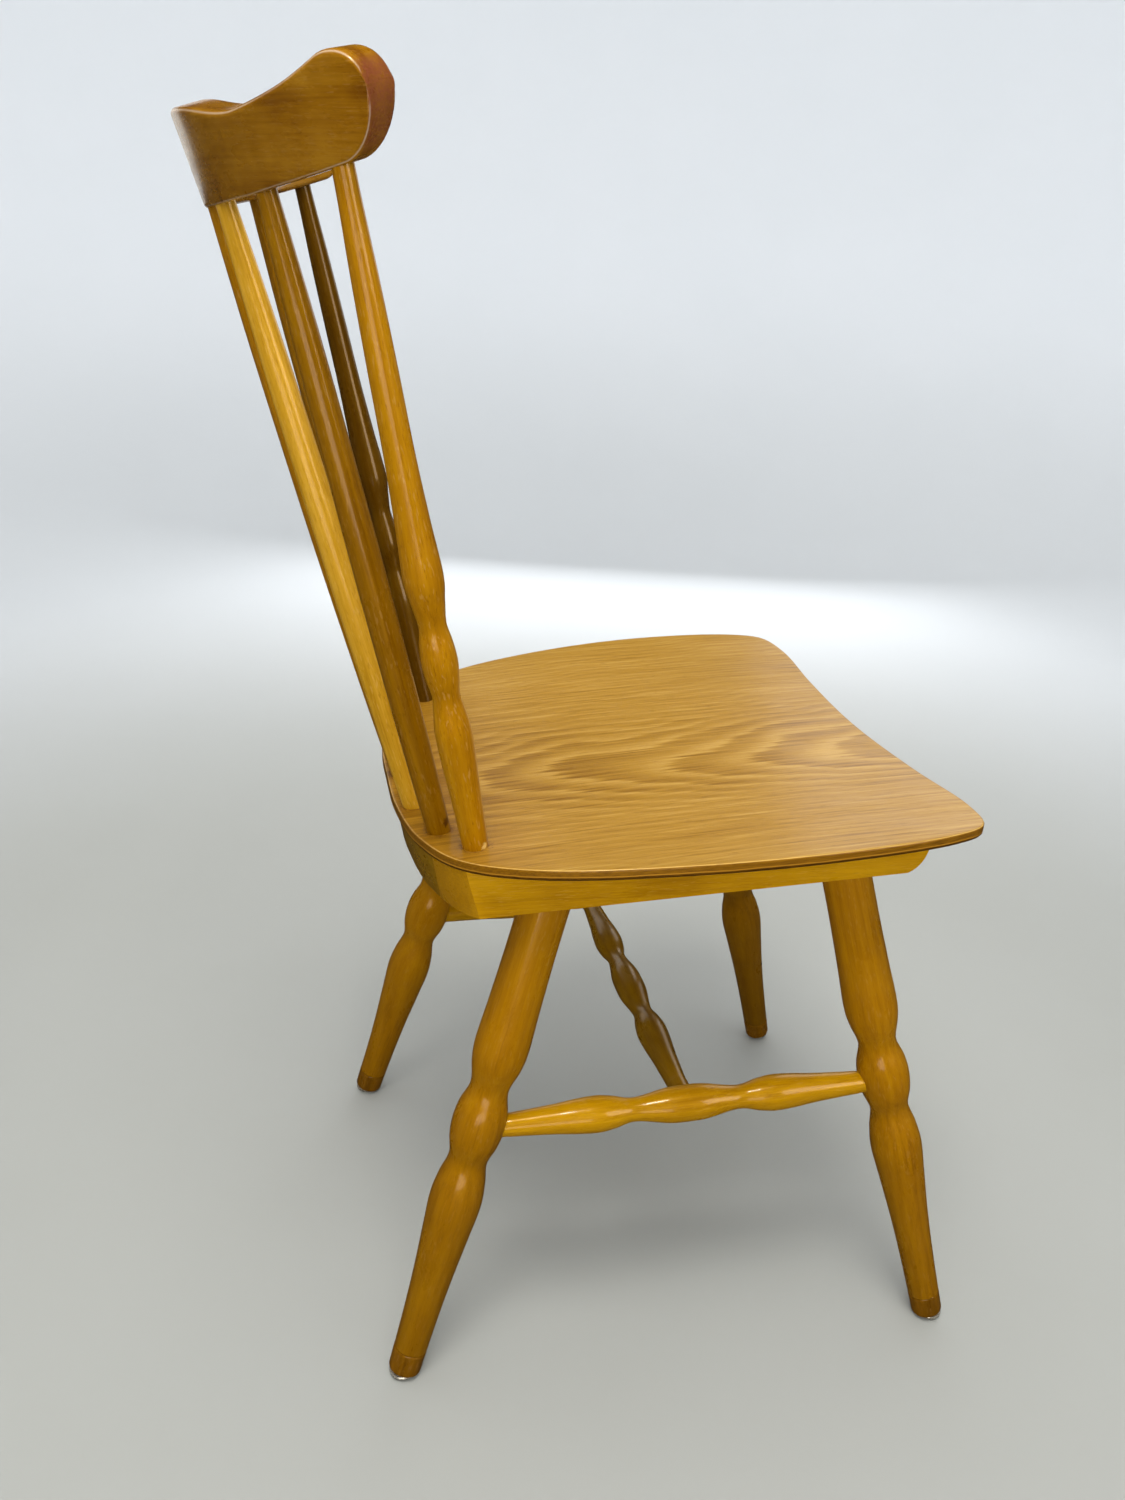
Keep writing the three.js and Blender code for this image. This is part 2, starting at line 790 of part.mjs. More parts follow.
const stretcherCutter = ({ middle, along, length, scale }) =>
  placed(stretcherGeometry(length, scale, GAP), middle, along);
const memberCutters = members.map(({ member, axis }) =>
  solid(memberGeometry(member, axis, GAP)),
);
const screwCutters = SCREWS.map(({ foot, length }) =>
  placed(screwGeometry(length, GAP), foot, UP),
);
const dowelCutters = DOWELS.map(({ middle, length }) =>
  placed(dowelGeometry(length, GAP), middle, vector(1, 0, 0)),
);
const legCutters = legs.map(({ axis }) => legTenon(axis, GAP));
const sideCutters = sideStretchers.map(stretcherCutter);
const crossCutter = stretcherCutter(crossStretcher);

// Seat and frame
const lid = abovePanel();
const under = belowRails(0);
const envelope = frameEnvelope();
const frameCutters = [...memberCutters, ...screwCutters, ...dowelCutters];

addBody(
  frameGroup,
  "seat_panel",
  veneer(),
  minus(seatPanelBody(), [...memberCutters, ...screwCutters]),
);
for (const [word, side] of SIDE_WORDS) {
  addBody(
    frameGroup,
    `side_rail_${word}`,
    beech(),
    minus(sideRailBlock(side).intersect(envelope), [
      lid,
      rearRailBlock(GAP),
      ...legCutters,
      ...frameCutters,
    ]),
  );
}
addBody(
  frameGroup,
  "rear_rail",
  beech(),
  minus(rearRailBlock(0).intersect(envelope), [lid, under, ...frameCutters]),
);
addBody(
  frameGroup,
  "front_rail",
  beech(),
  minus(frontRailBlock(), [lid, ...screwCutters, ...dowelCutters]),
);

// Legs with their tips and glides
for (const { word, end, axis } of legs) {
  const name = `${end}_leg_${word}`;
  addBody(baseGroup, name, beech(), minus(legBody(axis), [...sideCutters, tipPin(axis, GAP)]));
  const glideHole = placed(glideGeometry(GAP), axis.floor, UP);
  addBody(baseGroup, `${name}_tip`, beech(), tipBody(axis).subtract(glideHole));
  addTurned(baseGroup, `${name}_glide`, nickel(), glideGeometry(0), axis.floor, UP);
}

// Stretchers
for (const { name, middle, along, length, scale } of sideStretchers) {
  const body = placed(stretcherGeometry(length, scale, 0), middle, along);
  addBody(baseGroup, name, beech(), body.subtract(crossCutter));
}
addTurned(
  baseGroup,
  crossStretcher.name,
  beech(),
  stretcherGeometry(crossStretcher.length, CROSS_SCALE, 0),
  crossStretcher.middle,
  crossStretcher.along,
);

// Back
addBody(backGroup, "crest_rail", crestBeech(), minus(crestBody(), memberCutters));
for (const { member, axis } of members) {
  const mesh = new THREE.Mesh(memberGeometry(member, axis, 0), beech());
  mesh.name = member.name;
  backGroup.add(mesh);
}

// Screws and dowels
for (const { name, foot, length } of SCREWS) {
  addTurned(fixings, name, zinc(), screwGeometry(length, 0), foot, UP);
}
for (const { name, middle, length } of DOWELS) {
  addTurned(fixings, name, rawDowel(), dowelGeometry(length, 0), middle, vector(1, 0, 0));
}

export default chair;
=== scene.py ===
# A dining chair in varnished beech. The CAD frame gives the places; this script adds the looks.
import math
import random

import bmesh
import bpy
from mathutils import Matrix, Vector


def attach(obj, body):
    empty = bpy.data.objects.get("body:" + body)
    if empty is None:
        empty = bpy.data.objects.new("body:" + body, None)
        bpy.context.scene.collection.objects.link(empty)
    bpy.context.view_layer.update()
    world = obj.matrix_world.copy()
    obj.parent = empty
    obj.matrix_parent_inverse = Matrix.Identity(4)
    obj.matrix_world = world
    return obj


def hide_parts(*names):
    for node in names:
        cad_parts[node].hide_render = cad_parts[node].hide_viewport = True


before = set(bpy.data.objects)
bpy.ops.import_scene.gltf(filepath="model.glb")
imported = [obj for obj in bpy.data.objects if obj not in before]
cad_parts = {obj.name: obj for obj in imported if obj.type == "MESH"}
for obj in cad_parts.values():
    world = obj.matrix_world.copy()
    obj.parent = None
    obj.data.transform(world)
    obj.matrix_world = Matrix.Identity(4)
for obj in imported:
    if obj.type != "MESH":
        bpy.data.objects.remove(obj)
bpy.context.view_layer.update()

MM = 0.001
# How many straight steps stand for each span of a turned profile and of the seat's outline.
CURVE_STEPS, OUTLINE_STEPS = 24, 40
# How far from the tree's heart a turned piece was cut, in metres.
HEART_DISTANCE = 0.06
# An edge between two faces shows as an edge when they meet at more than this.
CREASE = math.radians(38)
# The pieces kept from the CAD have their arrises rounded to this width, in millimetres.
ARRIS, ARRIS_ANGLE = 0.8, math.radians(28)

# How much darker than the plain stain each piece is: partly its own stain, partly painted shade on pieces
# that stand in shadow (the far post, the cross stretcher, the far front leg and the rear rail under the
# seat), and less than usual on the near side rail and side stretcher, which stand in the light. At a shade
# of 1 it is mixed with this share of black.
SHADE_STRENGTH, USUAL_SHADE = 0.62, 0.15
STAIN_AND_PAINTED_SHADE = {
    "outer_spindle_right": 0.75, "outer_spindle_left": 0.7, "back_post_left": 1.3, "middle_spindle": 0.3,
    "inner_spindle_right": 0.0, "inner_spindle_left": 0.2, "back_post_right": 0.25,
    "cross_stretcher": 0.75, "front_leg_left": 0.6, "side_stretcher_right": 0.0, "rear_leg_left": 0.25,
    "front_leg_right": 0.25, "rear_leg_right": 0.4, "rear_rail": 0.85, "side_rail_right": 0.0,
}

# The legs darken towards the floor, below this height in metres.
LOW_DARKENING, LOW_DARKENING_HEIGHT = 0.5, 0.33
# Glue that squeezed out round each spindle has darkened the seat this far from its middle.
GLUE_RADIUS = 0.0128
# One spindle is painted paler than the rest: a painted highlight, standing in for the broad sheen of light
# along it.
HIGHLIT_SPINDLE = "inner_spindle_right"


# ---------------------------------------------------------------- camera
CAMERA_PLACE = (-0.8332, 0.2282, 0.7952)
# In degrees: anticlockwise from +X, down from level, and round its own axis.
CAMERA_TURN, CAMERA_DIP, CAMERA_ROLL = -14.07, 22.96, 3.0
SENSOR, LENS = 36.0, 29.28


def add_camera():
    """From behind the sitter's right, looking down from about the height of the crest."""
    data = bpy.data.cameras.new("camera")
    data.sensor_width = SENSOR
    data.lens = LENS
    data.clip_end = 50.0
    camera = bpy.data.objects.new("camera", data)
    bpy.context.scene.collection.objects.link(camera)
    yaw, pitch, roll = (math.radians(a) for a in (CAMERA_TURN, CAMERA_DIP, CAMERA_ROLL))
    ahead = Vector((math.cos(yaw) * math.cos(pitch), math.sin(yaw) * math.cos(pitch), -math.sin(pitch)))
    level = Vector((math.sin(yaw), -math.cos(yaw), 0))
    above = level.cross(ahead)
    right = level * math.cos(roll) + above * math.sin(roll)
    up = above * math.cos(roll) - level * math.sin(roll)
    turn = Matrix((right, up, -ahead)).transposed().to_4x4()
    camera.matrix_world = Matrix.Translation(CAMERA_PLACE) @ turn
    bpy.context.scene.camera = camera


# ---------------------------------------------------------------- curves
def smooth(points):
    """A value read off a smooth curve through (distance, value) points."""
    samples = []
    for i in range(len(points) - 1):
        p0, p1 = points[max(i - 1, 0)], points[i]
        p2, p3 = points[i + 1], points[min(i + 2, len(points) - 1)]
        for step in range(CURVE_STEPS):
            t = step / CURVE_STEPS
            samples.append([uniform_spline(p0[k], p1[k], p2[k], p3[k], t) for k in (0, 1)])
    samples.append(list(points[-1]))

    def value(at):
        if at <= samples[0][0]:
            return samples[0][1]
        for before, after in zip(samples, samples[1:]):
            if after[0] >= at:
                part = (at - before[0]) / max(after[0] - before[0], 1e-9)
                return before[1] + part * (after[1] - before[1])
        return samples[-1][1]

    return value


def uniform_spline(a, b, c, d, t):
    """Uniform Catmull-Rom between b and c."""
    return hermite(b, c, (c - a) / 2, (d - b) / 2, t)


def hermite(b, c, v0, v1, t):
    """Between b and c, leaving at v0 and arriving at v1."""
    return (2 * b - 2 * c + v0 + v1) * t**3 + (3 * c - 3 * b - 2 * v0 - v1) * t * t + v0 * t + b


def closed_spline(points):
    """Dense points on a closed centripetal Catmull-Rom curve."""
    dense = []
    n = len(points)
    for i in range(n):
        a, b, c, d = (Vector(points[(i + k - 1) % n]) for k in range(4))
        gaps = [max((q - p).length, 1e-9) ** 0.5 for p, q in ((a, b), (b, c), (c, d))]
        v0 = ((b - a) / gaps[0] - (c - a) / (gaps[0] + gaps[1]) + (c - b) / gaps[1]) * gaps[1]
        v1 = ((c - b) / gaps[1] - (d - b) / (gaps[1] + gaps[2]) + (d - c) / gaps[2]) * gaps[1]
        for step in range(OUTLINE_STEPS):
            dense.append(hermite(b, c, v0, v1, step / OUTLINE_STEPS))
    return dense


def evenly(points, count):
    """The same closed curve as evenly spaced points."""
    lengths = [0.0]
    ring = points + [points[0]]
    for p, q in zip(ring, ring[1:]):
        lengths.append(lengths[-1] + (q - p).length)
    out, at = [], 0
    for i in range(count):
        want = lengths[-1] * i / count
        while lengths[at + 1] < want:
            at += 1
        part = (want - lengths[at]) / (lengths[at + 1] - lengths[at])
        out.append(ring[at].lerp(ring[at + 1], part))
    return out


# ---------------------------------------------------------------- meshes
def make_piece(name, points, faces, grain, along, material, replaced, worn_and_highlit=None):
    """A mesh whose points carry their place in the plank and the direction of its grain."""
    mesh = bpy.data.meshes.new(name)
    mesh.from_pydata([tuple(p) for p in points], [], faces)
    paint_grain(mesh, grain, along, worn_and_highlit)
    return finish_piece(name, mesh, material, replaced)


def name_of_node(piece):
    return piece.removesuffix("_wood").removesuffix("_metal")


def paint_grain(mesh, grain, along, worn_and_highlit=None):
    for label, values in (("grain", grain), ("along", along)):
        layer = mesh.attributes.new(label, "FLOAT_VECTOR", "POINT")
        layer.data.foreach_set("vector", [c for v in values for c in v])
    layer = mesh.attributes.new("worn_and_highlit", "FLOAT", "POINT")
    layer.data.foreach_set("value", worn_and_highlit or [0.0] * len(mesh.vertices))
    # The shade attribute holds the piece's darkness: its own stain with painted shade, and the darkening
    # towards the floor.
    shade = STAIN_AND_PAINTED_SHADE.get(name_of_node(mesh.name), USUAL_SHADE)
    layer = mesh.attributes.new("shade", "FLOAT", "POINT")
    darker_low = [LOW_DARKENING * max(0.0, 1 - v.co.z / LOW_DARKENING_HEIGHT) for v in mesh.vertices]
    layer.data.foreach_set("value", [shade + darkening for darkening in darker_low])


def finish_piece(name, mesh, material, replaced):
    for polygon in mesh.polygons:
        polygon.use_smooth = True
    mesh.set_sharp_from_angle(angle=CREASE)
    mesh.materials.append(material)
    piece = bpy.data.objects.new(name, mesh)
    bpy.context.scene.collection.objects.link(piece)
    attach(piece, "root")
    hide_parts(*replaced)
    return piece


def loft_faces(rings, count):
    """Quads between rings of equal length, and a cap on each end."""
    faces = []
    for ring in range(rings - 1):
        for i in range(count):
            a, b = ring * count + i, ring * count + (i + 1) % count
            faces.append((a, b, b + count, a + count))
    faces.append(tuple(reversed(range(count))))
    faces.append(tuple((rings - 1) * count + i for i in range(count)))
    return faces


def basis(direction):
    """Two unit vectors square to a direction."""
    side = direction.cross(Vector((0, 0, 1)) if abs(direction.z) < 0.9 else Vector((1, 0, 0))).normalized()
    return side, direction.cross(side).normalized()


def plank_offset(seed):
    """Where a piece was cut from the tree: some way from the heart, and at some height."""
    rng = random.Random(seed)
    turn = rng.uniform(0, 2 * math.pi)
    reach = HEART_DISTANCE * rng.uniform(0.8, 1.3)
    return Vector((reach * math.cos(turn), reach * math.sin(turn), rng.uniform(0, 3)))


def turned_piece(name, foot, direction, outline, material, replaced, sides=56, seed=0):
    """A piece turned on a lathe. outline is (distance, radius) pairs along the axis, in metres."""
    offset = plank_offset(seed)
    u, v = basis(direction)
    points, grain = [], []
    for at, radius in outline:
        for i in range(sides):
            angle = 2 * math.pi * i / sides
            c, s = radius * math.cos(angle), radius * math.sin(angle)
            points.append(foot + direction * at + u * c + v * s)
            grain.append(Vector((c, s, at)) + offset)
    along = [direction] * len(points)
    return make_piece(
        name, points, loft_faces(len(outline), sides), grain, along, material, replaced
    )


def steps(start, end, size):
    count = max(2, math.ceil((end - start) / size))
    return [start + (end - start) * i / count for i in range(count + 1)]


# ---------------------------------------------------------------- node graphs
class Graph:
    """A short way to write a material's nodes."""

    def __init__(self, name):
        self.material = bpy.data.materials.new(name)
        self.material.use_nodes = True
        self.tree = self.material.node_tree
        self.shader = self.tree.nodes["Principled BSDF"]

    def node(self, kind, inputs=None, **settings):
        made = self.tree.nodes.new(kind)
        for key, value in settings.items():
            setattr(made, key, value)
        for key, value in (inputs or {}).items():
            self.put(made.inputs[key], value)
        return made

    def put(self, socket, value):
        if isinstance(value, bpy.types.NodeSocket):
            self.tree.links.new(value, socket)
        else:
            socket.default_value = value

    def attribute(self, name):
        made = self.node("ShaderNodeAttribute", attribute_name=name)
        return made.outputs["Fac" if name in ("worn_and_highlit", "shade") else "Vector"]

    def math(self, operation, *values):
        made = self.node("ShaderNodeMath", operation=operation)
        for i, value in enumerate(values):
            self.put(made.inputs[i], value)
        return made.outputs[0]

    def vector(self, operation, *values, output="Vector"):
        made = self.node("ShaderNodeVectorMath", operation=operation)
        for i, value in enumerate(values):
            self.put(made.inputs[i], value)
        return made.outputs[output]

    def stretch(self, vector, across, along, across2=None):
        """A plank's place scaled across and along its grain, for a pattern drawn out along it."""
        return self.vector("MULTIPLY", vector, (across, across2 or across, along))

    def noise(self, vector, scale=1.0, detail=3.0, rough=0.55):
        made = self.node(
            "ShaderNodeTexNoise", {"Vector": vector, "Scale": scale, "Detail": detail, "Roughness": rough}
        )
        return made.outputs[0]

    def remap(self, value, low, high, to_low=0.0, to_high=1.0):
        """Softly from to_low to to_high as value goes from low to high."""
        made = self.node(
            "ShaderNodeMapRange",
            {"Value": value, "From Min": low, "From Max": high, "To Min": to_low, "To Max": to_high},
            interpolation_type="SMOOTHSTEP",
        )
        return made.outputs[0]

    def swing(self, value, amount):
        """A noise value moved to either side of nought, times an amount."""
        return self.math("MULTIPLY", self.math("SUBTRACT", value, 0.5), amount)

    def total(self, *shares):
        """The sum of (value, weight) pairs."""
        terms = [self.math("MULTIPLY", value, weight) for value, weight in shares]
        result = terms[0]
        for term in terms[1:]:
            result = self.math("ADD", result, term)
        return result

    def mix(self, factor, a, b):
        made = self.node("ShaderNodeMix", data_type="RGBA", blend_type="MIX")
        self.put(made.inputs["Factor"], factor)
        for key, value in (("A", a), ("B", b)):
            socket = [s for s in made.inputs if s.name == key and s.type == "RGBA"][0]
            self.put(socket, value)
        return [s for s in made.outputs if s.type == "RGBA"][0]

    def blemish(self, base, point, radius, tint):
        """A ragged spot of another colour round a point of the object."""
        place = self.node("ShaderNodeTexCoord").outputs["Object"]
        ragged = self.swing(self.noise(place, scale=420, detail=3), 1.4 * radius)
        gap = self.vector("DISTANCE", place, tuple(point), output="Value")
        gap = self.math("ADD", gap, ragged)
        return self.mix(self.remap(gap, 0.35 * radius, radius, 0.85, 0.0), base, tint)

    def bump(self, height, strength, distance):
        made = self.node(
            "ShaderNodeBump", {"Height": height, "Strength": strength, "Distance": distance}
        )
        self.put(self.shader.inputs["Normal"], made.outputs[0])

    def gloss(self, **sockets):
        for key, value in sockets.items():
            self.shader.inputs[key.replace("_", " ")].default_value = value


def colour(red, green, blue):
    """An sRGB colour, 0 to 255, as a shader colour."""
    linear = [((c / 255 + 0.055) / 1.055) ** 2.4 if c > 10 else c / 255 / 12.92 for c in (red, green, blue)]
    return (*linear, 1.0)


def wood_tone(g, grain, ring, rings_share, mottle):
    """How light the wood is at a point, and the fibre, streak and stain that make it so."""
    sway = g.swing(g.noise(g.stretch(grain, 9, 2.2), detail=2), 0.034)
    reach = g.vector("LENGTH", g.vector("MULTIPLY", grain, (1, 1, 0)), output="Value")
    turns = g.math("DIVIDE", g.math("ADD", reach, sway), ring)
    rings = g.remap(g.math("SINE", g.math("MULTIPLY", turns, 2 * math.pi)), -1.0, 1.0)
    fibre = g.noise(g.stretch(grain, 900, 24), detail=4, rough=0.62)
    streak = g.noise(g.stretch(grain, 170, 5), detail=3)
    stain = g.noise(g.stretch(grain, 24, 7), detail=4, rough=0.55)
    tone = g.total((streak, 0.25), (fibre, 0.35), (rings, rings_share), (stain, 0.4 - rings_share))
    cloud = g.noise(g.stretch(grain, 30, 34), detail=2)
    return g.math("ADD", tone, g.swing(cloud, mottle)), fibre, streak, stain


def pin_knots(g, base, grain, tint):
    """A few small dark knots, drawn out along the grain."""
    cells = g.node("ShaderNodeTexVoronoi", {"Vector": g.stretch(grain, 13, 4.5), "Scale": 1.0})
    return g.mix(g.remap(cells.outputs["Distance"], 0.03, 0.1, 0.5, 0.0), base, tint)


def end_grain(g, base, grain, tint):
    """Where the surface is cut across the grain it takes more stain."""
    normal = g.node("ShaderNodeNewGeometry").outputs["Normal"]
    facing = g.math("ABSOLUTE", g.vector("DOT_PRODUCT", normal, g.attribute("along"), output="Value"))
    pattern = g.remap(g.noise(g.stretch(grain, 700, 700), detail=2), 0.3, 0.7, 0.35, 0.85)
    return g.mix(g.math("MULTIPLY", g.remap(facing, 0.5, 0.82), pattern), base, tint)


def varnished_wood(
    name, light, mid, dark, ring=0.006, rings_share=0.05, flecks=0.5, sheen=0.3, mottle=0.12,
    end_tint=None, marks=(),
):
    """Beech under amber varnish: faint growth rings, fibres, ray flecks, pores and uneven stain.

    marks are (point, radius, colour) blemishes such as a knot or a chip.
    """
    g = Graph(name)
    grain = g.attribute("grain")
    tone, fibre, streak, stain = wood_tone(g, grain, ring, rings_share, mottle)
    base = g.mix(g.remap(tone, 0.3, 0.52), dark, mid)
    base = g.mix(g.remap(tone, 0.47, 0.68), base, light)
    pores = g.noise(g.stretch(grain, 1300, 130), detail=1)
    base = g.mix(g.remap(pores, 0.62, 0.72, 0, 0.75 * flecks), base, dark)
    rays = g.noise(g.stretch(grain, 560, 130, 1200), detail=1)
    base = g.mix(g.remap(rays, 0.6, 0.72, 0, 0.6 * flecks), base, lighter(light, 0.05))
    base = pin_knots(g, base, grain, dark)
    base = end_grain(g, base, grain, end_tint or dark)
    # Darker by the shade attribute: the piece's own stain, painted shade where it stands in shadow, and the
    # darkening towards the floor.
    base = g.mix(g.math("MULTIPLY", g.attribute("shade"), SHADE_STRENGTH), base, (0.0, 0.0, 0.0, 1.0))
    # Paler along the rounded arrises: partly wear, partly a painted highlight where the edge catches the
    # light.
    worn_and_highlit = g.math("MULTIPLY", g.attribute("worn_and_highlit"), g.remap(stain, 0.35, 0.6, 0.35, 1.0))
    base = g.mix(worn_and_highlit, base, lighter(light, 0.45))
    for point, radius, tint in marks:
        base = g.blemish(base, point, radius, tint)
    g.put(g.shader.inputs["Base Color"], base)
    scuffs = g.noise(g.stretch(grain, 60, 22), detail=4, rough=0.7)
    g.put(g.shader.inputs["Roughness"], g.remap(scuffs, 0.3, 0.8, sheen - 0.04, sheen + 0.1))
    height = g.total((fibre, 0.5), (streak, 0.5))
    g.bump(g.math("SUBTRACT", height, g.remap(pores, 0.62, 0.72, 0, 0.4)), 0.1, 0.0002)
    g.gloss(Coat_Weight=0.25, Coat_Roughness=0.13, Specular_IOR_Level=0.28)
    g.shader.inputs["Specular Tint"].default_value = colour(255, 206, 110)
    g.shader.inputs["Coat Tint"].default_value = (1.0, 0.9, 0.5, 1.0)
    return g.material


def lighter(tint, share):
    """A colour moved part of the way to white."""
    return tuple(c + share * (1 - c) for c in tint[:3]) + (1.0,)


def seat_figure(g, grain, across, along, streak):
    """The veneer's cathedral figure: bands round a heart that lies a little to one side."""
    bend = g.swing(g.noise(g.stretch(grain, 6, 4), detail=3, rough=0.5), 0.085)
    off = g.math("ADD", g.math("ADD", across, 0.035), bend)
    heart = g.math("ADD", g.math("ADD", along, g.swing(streak, 0.055)), 0.3)
    heart = g.math("MULTIPLY", heart, 0.26)
    reach = g.math("SQRT", g.math("ADD", g.math("POWER", off, 2.0), g.math("POWER", heart, 2.0)))
    season = g.math("MULTIPLY", g.noise(g.stretch(grain, 12, 7), detail=1), 1.6)
    crowding = g.math("MULTIPLY", g.math("POWER", off, 2.0), 280)
    turns = g.math("ADD", g.math("DIVIDE", reach, 0.0165), crowding)
    phase = g.math("FRACT", g.math("ADD", turns, season))
    band = g.math("MULTIPLY", g.remap(phase, 0.0, 0.6), g.remap(phase, 0.8, 1.0, 1.0, 0.0))
    near_heart = g.remap(g.math("ABSOLUTE", off), 0.02, 0.1, 1.0, 0.3)
    return g.math("MULTIPLY", g.math("MULTIPLY", g.math("SUBTRACT", band, 0.4), 0.18), near_heart)


def seat_veneer(members):
    """Honey-brown veneer with a cathedral figure, a worn, scuffed sheen, painted shade towards the rear,
    pale arrises that are partly wear and partly a painted highlight, and dark glue round the spindles.
    """
    g = Graph("seat_veneer")
    grain = g.attribute("grain")
    split = g.node("ShaderNodeSeparateXYZ", {"Vector": grain})
    across, along = split.outputs[0], split.outputs[2]
    fibre = g.noise(g.stretch(grain, 900, 20), detail=4, rough=0.65)
    streak = g.noise(g.stretch(grain, 260, 7), detail=4, rough=0.6)
    patch = g.noise(g.stretch(grain, 10, 5), detail=2)
    tone = g.total((streak, 0.5), (fibre, 0.5))
    tone = g.math("SUBTRACT", tone, seat_figure(g, grain, across, along, streak))
    tone = g.math("ADD", tone, g.swing(patch, 0.22))
    base = g.mix(g.remap(tone, 0.26, 0.5), colour(114, 76, 14), colour(151, 112, 36))
    base = g.mix(g.remap(tone, 0.46, 0.7), base, colour(174, 137, 64))
    # Painted shade: towards the rear, under the back, the seat turns darker and more saturated, as in the
    # back's shadow.
    rear = g.remap(along, 0.05, 0.14, 0.0, 0.75)
    base = g.mix(rear, base, g.mix(g.remap(tone, 0.3, 0.65), colour(112, 70, 2), colour(152, 104, 10)))
    pores = g.noise(g.stretch(grain, 1500, 80), detail=1)
    base = g.mix(g.remap(pores, 0.6, 0.72, 0, 0.5), base, colour(106, 70, 10))
    for point in members:
        base = g.blemish(base, point, GLUE_RADIUS, colour(88, 46, 12))
    # Paler along the rounded arris: partly wear, partly a painted highlight where the edge catches the
    # light.
    worn_and_highlit = g.math("MULTIPLY", g.attribute("worn_and_highlit"), g.remap(patch, 0.3, 0.6, 0.4, 1.0))
    base = g.mix(worn_and_highlit, base, colour(236, 196, 120))
    g.put(g.shader.inputs["Base Color"], base)
    scuffs = g.noise(g.stretch(grain, 34, 15), detail=5, rough=0.72)
    g.put(g.shader.inputs["Roughness"], g.remap(scuffs, 0.3, 0.8, 0.36, 0.5))
    g.bump(g.math("SUBTRACT", fibre, g.remap(pores, 0.62, 0.72, 0, 0.6)), 0.2, 0.0002)
    g.gloss(Coat_Weight=0.2, Coat_Roughness=0.2, Specular_IOR_Level=0.2)
    g.shader.inputs["Specular Tint"].default_value = colour(255, 214, 170)
    return g.material


def ply_edge():
    """The panel's edge: a stained face veneer, a pale glue line and the darker plies below it, their
    darkness partly painted shade under the panel's edge.
    """
    g = Graph("ply_edge")
    grain = g.attribute("grain")
    split = g.node("ShaderNodeSeparateXYZ", {"Vector": grain})
    waver = g.swing(g.noise(grain, scale=45, detail=2), 0.0012)
    depth = g.math("ADD", split.outputs[1], waver)
    fibre = g.noise(g.stretch(grain, 700, 60, 1400), detail=3)
    face = g.mix(g.remap(fibre, 0.35, 0.7), colour(124, 81, 4), colour(96, 59, 2))
    # The lower plies are dark: partly their own colour, partly painted shade under the panel's edge.
    lower_plies_and_shade = g.mix(g.remap(fibre, 0.35, 0.7), colour(92, 56, 2), colour(64, 36, 1))
    base = g.mix(g.remap(depth, 0.0044, 0.0048), face, colour(158, 108, 24))
    base = g.mix(g.remap(depth, 0.0052, 0.0056), base, lower_plies_and_shade)
    g.put(g.shader.inputs["Base Color"], base)
    g.bump(g.math("ADD", fibre, g.remap(depth, 0.0044, 0.0056)), 0.15, 0.0002)
    g.gloss(Roughness=0.36, Coat_Weight=0.15, Coat_Roughness=0.1, Specular_IOR_Level=0.3)
    g.shader.inputs["Specular Tint"].default_value = colour(255, 216, 150)
    return g.material


def plated_metal(name, tint, roughness, metallic=1.0):
    """Polished plate with fine scratches and a little floor grime."""
    g = Graph(name)
    place = g.node("ShaderNodeTexCoord").outputs["Object"]
    scratch = g.noise(place, scale=900, detail=4, rough=0.7)
    darkening = g.noise(place, scale=220, detail=3)
    g.put(g.shader.inputs["Base Color"], g.mix(g.remap(darkening, 0.55, 0.8, 0, 0.6), tint, colour(92, 80, 66)))
    g.put(g.shader.inputs["Roughness"], g.remap(scratch, 0.3, 0.8, roughness, roughness + 0.22))
    g.bump(scratch, 0.1, 0.0001)
    g.gloss(Metallic=metallic)
    return g.material


def bare_wood():
    g = Graph("bare_wood")
    place = g.node("ShaderNodeTexCoord").outputs["Object"]
    fibre = g.noise(g.vector("MULTIPLY", place, (40, 900, 900)), detail=3)
    g.put(g.shader.inputs["Base Color"], g.mix(fibre, colour(190, 150, 100), colour(222, 190, 142)))
    g.bump(fibre, 0.3, 0.0002)
    g.gloss(Roughness=0.7)
    return g.material


def pale_sweep():
    """The backdrop's paint: grey underfoot, paler further out, and lightest up the wall, which also glows
    faintly: painted light, as no lamp is there.
    """
    g = Graph("pale_sweep")
    place = g.node("ShaderNodeTexCoord").outputs["Object"]
    height = g.node("ShaderNodeSeparateXYZ", {"Vector": place}).outputs[2]
    away = g.vector("LENGTH", g.vector("MULTIPLY", place, (1, 1, 0)), output="Value")
    uneven = g.noise(place, scale=3, detail=4)
    near = g.mix(uneven, colour(158, 159, 154), colour(153, 154, 148))
    far = g.mix(uneven, colour(204, 207, 208), colour(200, 203, 204))
    wall = g.mix(uneven, colour(222, 225, 228), colour(217, 221, 224))
    base = g.mix(g.remap(away, 0.7, 2.2), near, far)
    g.put(g.shader.inputs["Base Color"], g.mix(g.remap(height, 0.0, 0.8), base, wall))
    # Painted light: the wall glows faintly, more so higher up.
    g.put(g.shader.inputs["Emission Color"], wall)
    g.put(g.shader.inputs["Emission Strength"], g.remap(height, 0.0, 0.6, 0.0, 0.06))
    g.gloss(Roughness=0.6, Specular_IOR_Level=0.2)
    return g.material


# ---------------------------------------------------------------- the chair's shape, as in the CAD
# Lengths are in millimetres, +Z is up and the sitter faces -Y.
# A profile is a list of (distance along the axis, radius) pairs.
SEAT_Z, SEAT_SLOPE, SEAT_CROWN, SEAT_DISH, SEAT_HALF_WIDTH = 431.3, 0.076, 0.0001, 10, 218.5
SEAT_THICK = 8
